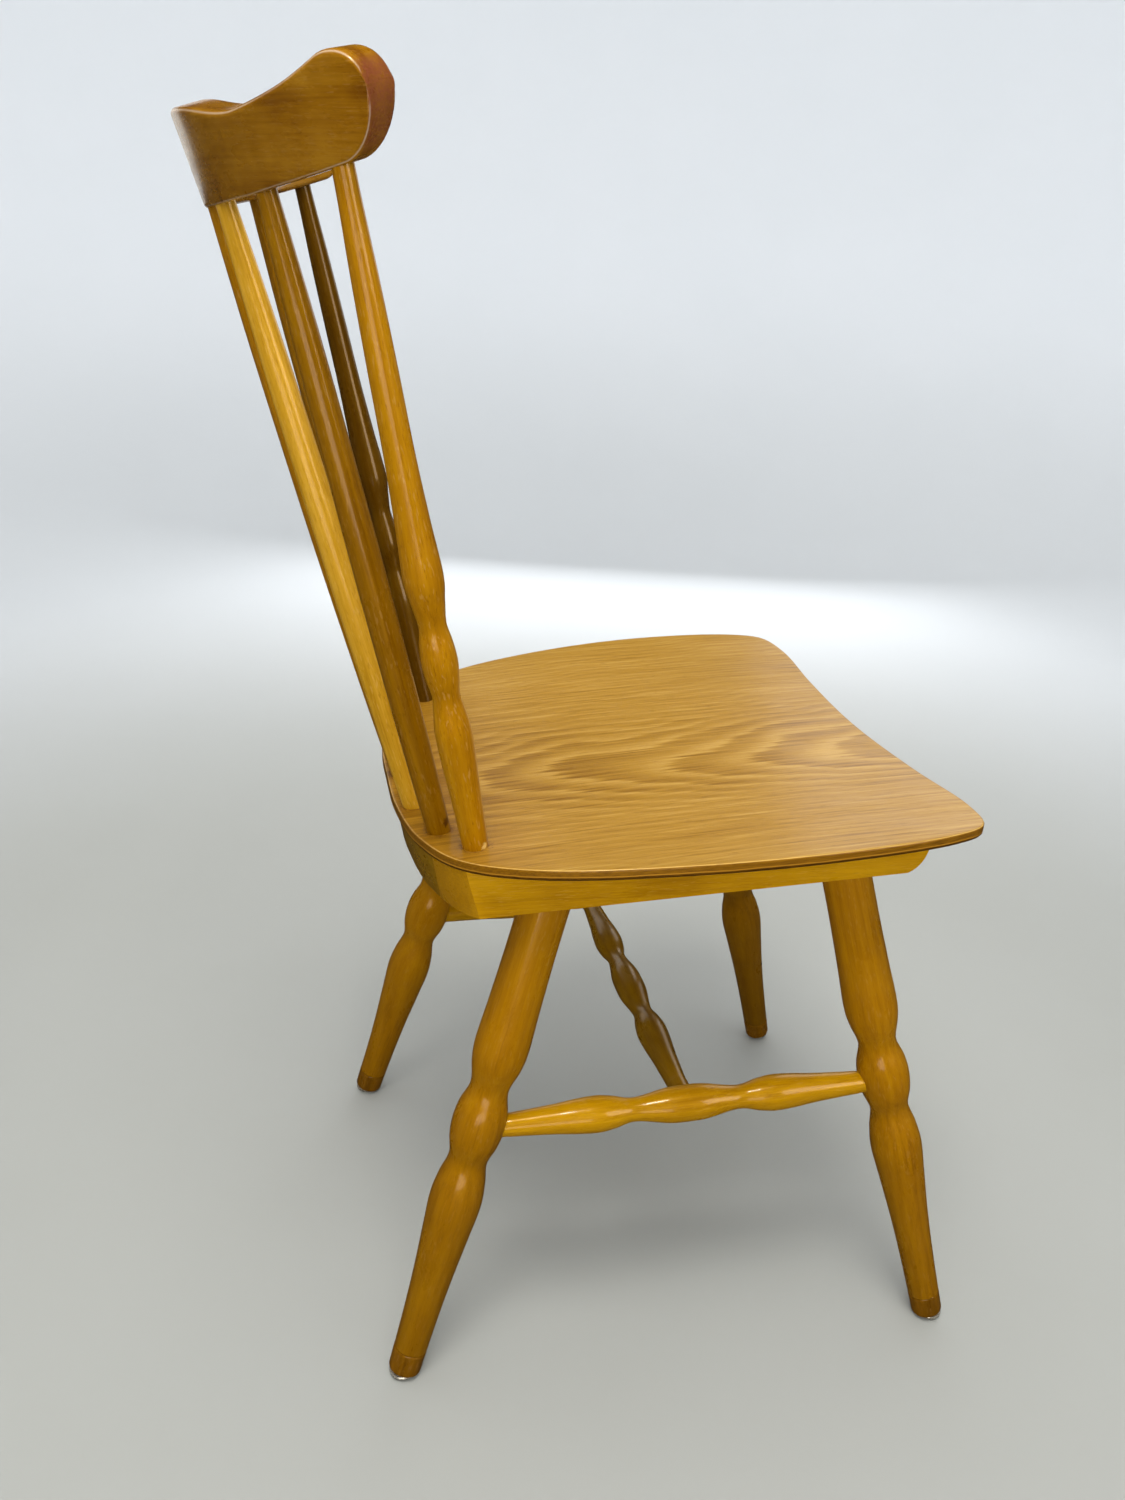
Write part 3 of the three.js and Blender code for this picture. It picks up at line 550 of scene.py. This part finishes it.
# The seat's mesh: sides round its outline, rings over its faces as shares of it, and rings down its edge.
SEAT_SIDES = 220
SEAT_UNDERSIDE = (0.12, 0.3, 0.45, 0.6, 0.72, 0.82, 0.9, 0.96)
SEAT_TOP = (0.985, 0.96, 0.92, 0.86, 0.78, 0.7, 0.6, 0.5, 0.4, 0.3, 0.2, 0.1)
SEAT_FACE_SHRINK = 0.993
SEAT_EDGE = (5.0, 4.2, 3.4, 2.6)
LOWER_ARRIS, LOWER_ARRIS_ROWS = 2.2, 5
# The first rings of the upper arris are painted as the edge, and the rest as the top.
UPPER_ARRIS, UPPER_ARRIS_ROWS, UPPER_ARRIS_EDGE_ROWS = 1.5, 6, 2
# How pale the seat's upper arris is painted: partly wear, partly a painted highlight.
SEAT_WEAR_AND_HIGHLIGHT = 0.45
# Half of the outline, from the middle of the front to the middle of the rear.
SEAT_OUTLINE = [
    (0, -221), (95, -224.5), (165, -228), (199, -219), (211, -194), (218.5, -114),
    (211.5, -20), (188, 73), (156, 121), (110, 143), (50, 152.5), (0, 153.5),
]
RAIL_Z, RAIL_SLOPE = 388.9, 0.0644
# Where a left leg's axis meets the floor, and its direction upwards.
LEGS = {
    "rear": ((168, 160), (-0.094, -0.259, 0.961)),
    "front": ((189.5, -264), (-0.124, 0.2632, 0.9567)),
}
# Measured down from the rails.
LEG_PROFILE = [
    (-20, 17.5), (0, 17.5), (45, 17.6), (88, 18.5), (119, 19.5), (134, 18.1), (153, 14), (170, 18),
    (183, 19.2), (196, 18), (212, 14.3), (230, 17.6), (248, 19.2), (275, 17.4), (315, 14.7),
    (360, 12.9), (440, 11.2),
]
LEG_BEAD = 188
TIP_LENGTH = 24
# The glide's dome is a little fuller than its CAD solid, so that it shows below the tip.
GLIDE_HEIGHT = 4.8
GLIDE_PROFILE = [
    (0, 0), (0, 6.0), (0.15, 6.7), (0.7, 8.0), (1.5, 9.0), (2.6, 9.8), (3.8, 10.1),
    (GLIDE_HEIGHT, 9.6), (GLIDE_HEIGHT, 1.4), (15, 1.1),
]
STRETCHER_PROFILE = [
    (0, 13.2), (14, 12.6), (39, 8.6), (55, 11.6), (67, 13.1), (82, 12.3), (98, 10.6), (120, 9), (133, 8.3),
]
# A stretcher's tenons are straight, and end this far short of the middle of what they go into.
STRETCHER_TENON_RADIUS, STRETCHER_SHORT = 8, 5
# The cross stretcher is the same pattern, a little slimmer.
CROSS_SCALE = 0.92
# The foot of each on the seat, and how far along the crest it goes in.
MEMBERS = [
    ("back_post_left", (136.5, 108.5), 175), ("back_post_right", (-136.5, 108.5), -175),
    ("outer_spindle_left", (104, 128), 119), ("outer_spindle_right", (-104, 128), -119),
    ("inner_spindle_left", (57, 139), 54), ("inner_spindle_right", (-57, 139), -54),
    ("middle_spindle", (0, 141.5), 0),
]
POST_PROFILE = [
    (-18, 8.5), (0, 8.5), (34, 9.6), (61, 10.8), (86, 11.5), (100, 10), (112, 8.6), (123, 10), (134, 11),
    (146, 10.2), (159, 8.4), (173, 10), (189, 11.8), (222, 10.1), (260, 8.7), (306, 8.1), (352, 7.2),
    (395, 5.9), (440, 5.7),
]
SPINDLE_PROFILE = [
    (-18, 8.1), (0, 8.2), (70, 9.2), (170, 9.6), (250, 9), (320, 8), (370, 6.6), (400, 5.7), (440, 5.5),
]
# How far a post or spindle goes on into the seat and into the crest.
TENON = 12
CREST_RADIUS, CREST_CENTRE_Y, CREST_Z, CREST_LEAN = 271, -2.2, 826.5, 0.33
CREST_THICK_TOP, CREST_THICK_FOOT = 22, 15.5
# The round ends run from CREST_CAP to CREST_END, and the whole rail sits a little to one side.
CREST_CAP, CREST_END, CREST_OFFSET = 215, 243, 5
# The ends are cut aslant by this much, from this far along.
CREST_BEVEL, CREST_BEVEL_START = 4, 190
CREST_TOP_CORNER, CREST_FOOT_CORNER = 3.2, 2.4
CREST_CAP_STEPS = 12
# How pale the crest's arrises are painted, from 0 to 1: partly wear, partly a painted highlight on the
# rounded edge.
CREST_WEAR_AND_HIGHLIGHT = 0.5
# The seat and the crest are set in by this much, so that they stay within the CAD solids.
EASE = 0.45
# The height of the rail's middle line, and half its depth, by distance along the arc.
CREST_LINE = [(0, 824.3), (66, 823.7), (118, 823.9), (145, 826.5), (183, 833.8), (220, 844.5), (243, 852.5)]
CREST_HALF = [(0, 26.2), (66, 23.8), (118, 19.8), (145, 18.8), (183, 19.7), (215, 22.2)]

leg_radius = smooth(LEG_PROFILE)
stretcher_radius = smooth(STRETCHER_PROFILE)
post_radius = smooth(POST_PROFILE)
spindle_radius = smooth(SPINDLE_PROFILE)
crest_line = smooth(CREST_LINE)
crest_half = smooth(CREST_HALF)


def seat_top(x, y):
    return SEAT_Z - SEAT_SLOPE * y - SEAT_CROWN * y * y + SEAT_DISH * (x / SEAT_HALF_WIDTH) ** 2


def seat_outline(count):
    """Points round the panel's edge, with the outward direction at each."""
    half = [(x, y, 0) for x, y in SEAT_OUTLINE]
    other = [(-x, y, 0) for x, y in reversed(SEAT_OUTLINE[1:-1])]
    ring = evenly(closed_spline(half + other), count)
    out = []
    for i, point in enumerate(ring):
        along = (ring[(i + 1) % count] - ring[i - 1]).normalized()
        out.append((point, Vector((along.y, -along.x, 0))))
    return out


def crest_half_at(along):
    if along <= CREST_CAP:
        return crest_half(along)
    part = (along - CREST_CAP) / (CREST_END - CREST_CAP)
    return crest_half(CREST_CAP) * math.sqrt(max(0.0, 1 - part * part))


def crest_point(angle, z, depth):
    inward = Vector((math.sin(angle), math.cos(angle), -CREST_LEAN * math.cos(angle))).normalized()
    rear = Vector((
        CREST_OFFSET + CREST_RADIUS * math.sin(angle),
        CREST_CENTRE_Y + CREST_LEAN * (z - CREST_Z) + CREST_RADIUS * math.cos(angle),
        z,
    ))
    return rear - inward * depth


def crest_angle(along, depth):
    """How far round the arc a point lies, once the ends are cut aslant."""
    part = max(0, abs(along) - CREST_BEVEL_START) / (CREST_END - CREST_BEVEL_START)
    short = CREST_BEVEL * part * part * (1 - depth / CREST_THICK_TOP)
    return (along - math.copysign(short, along)) / CREST_RADIUS


def leg_axis(end, side):
    (x, y), (dx, dy, dz) = LEGS[end]
    floor = Vector((side * x, y, 0))
    up = Vector((side * dx, dy, dz)).normalized()
    length = (RAIL_Z - RAIL_SLOPE * y) / (up.z + RAIL_SLOPE * up.y)
    return floor, up, length


def member_axis(seat, crest):
    foot = Vector((*seat, seat_top(*seat)))
    angle = math.asin((crest - CREST_OFFSET) / (CREST_RADIUS - CREST_THICK_FOOT / 2))
    reach = abs(angle) * CREST_RADIUS
    under = crest_line(reach) - crest_half_at(reach)
    rise = crest_point(angle, under, CREST_THICK_FOOT / 2) - foot
    return foot, rise.normalized(), rise.length


# ---------------------------------------------------------------- pieces
def turned_mm(name, foot, direction, outline, material, seed, sides=56):
    pairs = [(at * MM, max(radius, 0.05) * MM) for at, radius in outline]
    replaced = [name_of_node(name)]
    return turned_piece(name, foot * MM, direction, pairs, material, replaced, sides, seed)


def leg_outline(length):
    """The leg above its tip, with a small step at the joint between them."""
    low = TIP_LENGTH + 0.3
    rings = [low, low + 0.35] + steps(low + 1.2, length + 6, 2.5)
    outline = [(at, leg_radius(length - at)) for at in rings]
    outline[0] = (low, outline[0][1] - 0.55)
    return outline


def tip_outline(length):
    """The end tip, with an eased bottom edge just above the glide."""
    bottom = GLIDE_HEIGHT + 0.3
    outline = [(at, leg_radius(length - at) + 0.1) for at in steps(bottom + 1.2, TIP_LENGTH - 0.8, 2.0)]
    outline = [(bottom, outline[0][1] - 1.0), (bottom + 0.3, outline[0][1] - 0.35), *outline]
    return outline + [(TIP_LENGTH, outline[-1][1] - 0.5)]


def add_legs(wood, tip_wood, metal):
    for number, (side, word) in enumerate(((1, "left"), (-1, "right"))):
        for end in ("front", "rear"):
            floor, up, length = leg_axis(end, side)
            node = f"{end}_leg_{word}"
            seed = 10 * number + len(end)
            turned_mm(f"{node}_wood", floor, up, leg_outline(length), wood, seed)
            turned_mm(f"{node}_tip_wood", floor, up, tip_outline(length), tip_wood, seed + 3)
            turned_mm(
                f"{node}_glide_metal", floor, Vector((0, 0, 1)), GLIDE_PROFILE, metal, seed,
                sides=40,
            )


def add_stretchers(wood):
    middles = []
    for side, word in ((1, "left"), (-1, "right")):
        ends = []
        for end in ("rear", "front"):
            floor, up, length = leg_axis(end, side)
            ends.append(floor + up * (length - LEG_BEAD))
        middle, rise = (ends[0] + ends[1]) / 2, ends[1] - ends[0]
        middles.append(middle)
        name = f"side_stretcher_{word}_wood"
        stretcher(name, middle, rise.normalized(), rise.length, 1.0, wood, side + 5)
    span = middles[0] - middles[1]
    centre = (middles[0] + middles[1]) / 2
    stretcher("cross_stretcher_wood", centre, Vector((1, 0, 0)), span.length, CROSS_SCALE, wood, 9)


def stretcher(name, middle, direction, length, scale, wood, seed):
    half = length / 2 - STRETCHER_SHORT
    neck = STRETCHER_PROFILE[-1][0]
    outline = []
    for at in steps(-half, half, 2.0):
        radius = scale * stretcher_radius(abs(at)) if abs(at) < neck else STRETCHER_TENON_RADIUS
        outline.append((at, radius))
    turned_mm(name, middle, direction, outline, wood, seed)


def add_back(post_wood, spindle_wood, highlight_painted_wood):
    for i, (name, seat, crest) in enumerate(MEMBERS):
        foot, up, length = member_axis(seat, crest)
        radius, material = spindle_radius, spindle_wood
        if name.startswith("back_post"):
            radius, material = post_radius, post_wood
        elif name == HIGHLIT_SPINDLE:
            material = highlight_painted_wood
        rings = steps(-TENON, length + TENON, 2.5)
        outline = [(at, radius(min(at, length))) for at in rings]
        turned_mm(f"{name}_wood", foot, up, outline, material, 40 + i)


def add_crest(wood):
    span = steps(-CREST_CAP, CREST_CAP, 4)
    caps = []
    for i in range(1, CREST_CAP_STEPS + 1):
        caps.append(CREST_CAP + (CREST_END - CREST_CAP) * math.sin(i / CREST_CAP_STEPS * math.pi / 2))
    stations = [-a for a in reversed(caps)] + span + caps
    points, grain, along_grain, worn_and_highlit = [], [], [], []
    for along in stations:
        half = max(0.9, crest_half_at(abs(along)))
        line = crest_line(abs(along))
        angle = along / CREST_RADIUS
        tangent = Vector((math.cos(angle), -math.sin(angle), 0))
        for height, depth, wear_and_highlight in crest_ring(half):
            points.append(crest_point(crest_angle(along, depth), line + height - EASE, depth + EASE) * MM)
            worn_and_highlit.append(wear_and_highlight)
            grain.append(Vector((depth - 64, line + height - 840, along + 400)) * MM)
            along_grain.append(tangent)
    count = len(points) // len(stations)
    faces = loft_faces(len(stations), count)
    make_piece(
        "crest_rail_wood", points, faces, grain, along_grain, wood, ["crest_rail"], worn_and_highlit
    )


def crest_thickness(height):
    """The section is thicker towards its top."""
    share = 0.5 + height / (2 * crest_half(0))
    return CREST_THICK_FOOT + share * (CREST_THICK_TOP - CREST_THICK_FOOT)


def crest_ring(half):
    """Heights, depths and pale arris marks, wear with a painted highlight, round one section: softer along
    the top, crisper along the foot.
    """
    ring = []
    for outward, upward, start in ((1, 1, 0), (0, 1, 90), (0, -1, 180), (1, -1, 270)):
        corner = min(CREST_TOP_CORNER if upward > 0 else CREST_FOOT_CORNER, 0.8 * half)
        rub_and_highlight = CREST_WEAR_AND_HIGHLIGHT if outward and half > CREST_TOP_CORNER * 2 else 0.0
        for step in range(7):
            turn = math.radians(start + 15 * step)
            height = upward * (half - corner) + corner * math.sin(turn)
            near = corner if outward else crest_thickness(height) - corner
            ring.append((height, near - corner * math.cos(turn), rub_and_highlight if step == 3 else 0.0))
        ring.extend(between_corners(outward, upward, half))
    return ring


def between_corners(outward, upward, half):
    """Points along the rear and front faces, so that the rail's faces are evenly divided."""
    if (outward, upward) not in ((0, 1), (1, -1)):
        return []
    heights = [half * (0.6 - 0.3 * i) for i in range(5)]
    if outward:
        return [(-h, 0.0, 0.0) for h in heights]
    return [(h, crest_thickness(h), 0.0) for h in heights]


def seat_rows():
    """Rings over the panel, from the middle of its underside round the edge to the middle of its top.

    Each is (share of the outline, inset from it, depth below the top).
    """
    rows = [(share, 0.0, SEAT_THICK) for share in SEAT_UNDERSIDE]
    for i in range(LOWER_ARRIS_ROWS):
        turn = i / (LOWER_ARRIS_ROWS - 1) * math.pi / 2
        inset, drop = LOWER_ARRIS * (1 - math.sin(turn)), LOWER_ARRIS * (1 - math.cos(turn))
        rows.append((1, inset, SEAT_THICK - drop))
    rows += [(1, 0.0, depth) for depth in SEAT_EDGE]
    for i in range(UPPER_ARRIS_ROWS):
        turn = i / (UPPER_ARRIS_ROWS - 1) * math.pi / 2
        rows.append((1, UPPER_ARRIS * (1 - math.cos(turn)), UPPER_ARRIS * (1 - math.sin(turn))))
    return rows + [(share, 0.0, 0.0) for share in SEAT_TOP]


def add_seat(veneer, edge):
    outline = seat_outline(SEAT_SIDES)
    rows = seat_rows()
    points, grain, worn_and_highlit = [], [], []
    for share, inset, depth in rows:
        for point, outward in outline:
            worn_and_highlit.append(SEAT_WEAR_AND_HIGHLIGHT if share == 1 and 0.1 < depth < 0.6 else 0)
            on_edge = share == 1
            spot = point - outward * (inset + EASE) if on_edge else point * share * SEAT_FACE_SHRINK
            points.append(Vector((spot.x, spot.y, seat_top(spot.x, spot.y) - depth)) * MM)
            grain.append(Vector((spot.x, depth, spot.y)) * MM)
    along = [Vector((0, 1, 0))] * len(points)
    seat = make_piece(
        "seat_panel_veneer", points, loft_faces(len(rows), SEAT_SIDES), grain, along, veneer,
        ["seat_panel"], worn_and_highlit,
    )
    seat.data.materials.append(edge)
    first = len(SEAT_UNDERSIDE)
    last = first + LOWER_ARRIS_ROWS + len(SEAT_EDGE) + UPPER_ARRIS_EDGE_ROWS
    for polygon in seat.data.polygons:
        row = min(polygon.vertices) // SEAT_SIDES
        if first <= row < last and len(polygon.vertices) == 4:
            polygon.material_index = 1


def from_cad(name, node, material, grain_of, along):
    """A copy of a CAD node with its arrises eased and its grain laid out."""
    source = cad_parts[node].data
    made = bmesh.new()
    made.from_mesh(source)
    bmesh.ops.remove_doubles(made, verts=made.verts, dist=0.00002)
    bmesh.ops.dissolve_limit(
        made, angle_limit=math.radians(1.2), verts=made.verts, edges=made.edges
    )
    sharp = [e for e in made.edges if len(e.link_faces) == 2 and e.calc_face_angle(0) > ARRIS_ANGLE]
    bmesh.ops.bevel(
        made, geom=sharp, offset=ARRIS * MM, segments=2, profile=0.7, affect="EDGES", clamp_overlap=True
    )
    mesh = bpy.data.meshes.new(name)
    made.to_mesh(mesh)
    made.free()
    points = [v.co.copy() for v in mesh.vertices]
    paint_grain(mesh, [grain_of(p) for p in points], [along] * len(points))
    return finish_piece(name, mesh, material, [node])


def add_frame(wood):
    for side, word in ((1, "left"), (-1, "right")):
        from_cad(
            f"side_rail_{word}_wood", f"side_rail_{word}", wood,
            lambda p: Vector((p.x - 0.07, p.z - 0.36, p.y + 1.3 * side)), Vector((0, 1, 0)),
        )
    from_cad(
        "rear_rail_wood", "rear_rail", wood,
        lambda p: Vector((p.y - 0.2, p.z - 0.45, p.x + 2.0)), Vector((1, 0, 0)),
    )
    from_cad(
        "front_rail_wood", "front_rail", wood,
        lambda p: Vector((p.y + 0.25, p.z - 0.45, p.x + 4.0)), Vector((1, 0, 0)),
    )


def paint_fixings(zinc, bare):
    for name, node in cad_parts.items():
        material = zinc if "screw" in name else bare if "dowel" in name else None
        if material:
            node.data.materials.clear()
            node.data.materials.append(material)


# ---------------------------------------------------------------- studio
def add_backdrop():
    """One pale sweep all round: a floor that curves up into a wall well beyond the chair."""
    reach, bend, rise, sides, bend_steps = 3.6, 1.5, 6.0, 96, 16
    profile = [(1.0, 0.0), (reach - bend, 0.0)]
    for i in range(1, bend_steps + 1):
        turn = i / bend_steps * math.pi / 2
        profile.append((reach - bend + bend * math.sin(turn), bend * (1 - math.cos(turn))))
    profile.append((reach, rise))
    points = []
    for radius, z in profile:
        for i in range(sides):
            turn = 2 * math.pi * i / sides
            points.append((radius * math.cos(turn), radius * math.sin(turn), z))
    faces = loft_faces(len(profile), sides)[:-1]
    mesh = bpy.data.meshes.new("floor")
    mesh.from_pydata(points, [], faces)
    for polygon in mesh.polygons:
        polygon.use_smooth = True
    mesh.materials.append(pale_sweep())
    floor = bpy.data.objects.new("floor", mesh)
    bpy.context.scene.collection.objects.link(floor)
    floor.visible_glossy = False


def add_light(name, place, target, size, power, tint, shines=True, reflects=True):
    """An area light. Without reflects it lights surfaces but isn't mirrored; without shines, the reverse."""
    data = bpy.data.lights.new(name, "AREA")
    data.shape = "RECTANGLE"
    data.size, data.size_y = size
    data.energy = power
    data.color = tint
    light = bpy.data.objects.new(name, data)
    light.location = place
    light.rotation_euler = (Vector(target) - Vector(place)).to_track_quat("-Z", "Y").to_euler()
    light.visible_camera = False
    light.visible_diffuse = shines
    light.visible_glossy = reflects
    bpy.context.scene.collection.objects.link(light)


def add_studio():
    add_backdrop()
    world = bpy.data.worlds.new("studio")
    world.use_nodes = True
    world.node_tree.nodes["Background"].inputs[0].default_value = (0.85, 0.62, 0.36, 1)
    world.node_tree.nodes["Background"].inputs[1].default_value = 0.05
    bpy.context.scene.world = world
    middle = (0, 0, 0.4)
    cool, warm = (0.96, 0.97, 1.0), (1.0, 0.98, 0.95)
    add_light("key", (-0.9, 0.3, 2.7), middle, (0.9, 0.9), 44, warm, reflects=False)
    add_light("ceiling", (0, 0, 3.8), (0, 0, 0), (4.0, 4.0), 112, cool, reflects=False)
    add_light("fill", (-2.6, 0.5, 1.5), (0, 0, 0.6), (1.4, 1.0), 30, warm, reflects=False)
    add_light("window", (2.1, -1.7, 1.55), middle, (1.3, 1.3), 11, cool, shines=False)
    add_light("glint", (-0.9, 0.5, 2.7), middle, (0.35, 0.35), 36, warm, shines=False)
    add_light("low card", (-1.6, 0.5, 0.35), (0, 0.2, 0.7), (1.0, 0.5), 9, warm, shines=False)
    add_light("side card", (-1.5, -0.95, 1.1), (0, 0.2, 0.7), (0.7, 0.9), 18, warm, shines=False)
    add_light("wall card", (2.4, 0.45, 1.0), (0, 0.2, 0.8), (1.6, 0.7), 4.5, cool, shines=False)
    add_light("bounce", (2.0, -0.6, 0.6), (0, 0, 0.1), (1.6, 0.8), 13, cool, reflects=False)
    bpy.context.scene.view_settings.view_transform = "Standard"


# ---------------------------------------------------------------- the whole scene
add_camera()
AMBER = colour(184, 129, 4), colour(168, 113, 0), colour(138, 87, 0)
BROWN = colour(152, 106, 20), colour(134, 88, 6), colour(104, 60, 4)
wood = varnished_wood("varnished_beech", *AMBER)
# A paler copy of the amber for the rails and stretchers: painted light, as the near side rail and side
# stretcher stand brighter in the light than the legs.
lit_rail_wood = varnished_wood("rail_beech", colour(192, 143, 6), colour(176, 127, 2), colour(146, 99, 0))
MEMBER_FEET = {name: member_axis(seat, crest)[0] for name, seat, crest in MEMBERS}
KNOT_PLACE = MEMBER_FEET["outer_spindle_right"] + Vector((-6.5, -4.5, 9))
KNOT = KNOT_PLACE * MM, 0.0045, colour(62, 28, 6)
CHIP_PLACE = MEMBER_FEET["back_post_right"] + Vector((-7.5, -5.5, 3))
CHIP = CHIP_PLACE * MM, 0.0036, colour(226, 190, 112)
post_wood = varnished_wood("post_beech", *AMBER, flecks=0.9, marks=[CHIP])
spindle_wood = varnished_wood("spindle_beech", *AMBER, flecks=0.9, marks=[KNOT])
# Paler amber for one spindle: a painted highlight.
highlight_painted_wood = varnished_wood(
    "highlight_painted_beech", colour(206, 158, 52), colour(188, 140, 30), colour(156, 108, 8), flecks=0.7
)
crest_wood = varnished_wood(
    "crest_beech", *BROWN, ring=0.012, rings_share=0.12, sheen=0.27, mottle=0.4,
    end_tint=colour(118, 62, 44),
)
tip_wood = varnished_wood(
    "tip_beech", colour(158, 104, 10), colour(132, 86, 4), colour(98, 60, 4), flecks=0.7
)
chrome = plated_metal("glide_metal", colour(214, 206, 190), 0.16, metallic=0.7)
zinc = plated_metal("screw_metal", colour(190, 184, 150), 0.3)

add_legs(wood, tip_wood, chrome)
add_stretchers(lit_rail_wood)
add_frame(lit_rail_wood)
add_back(post_wood, spindle_wood, highlight_painted_wood)
add_crest(crest_wood)
add_seat(seat_veneer([foot * MM for foot in MEMBER_FEET.values()]), ply_edge())
paint_fixings(zinc, bare_wood())
add_studio()
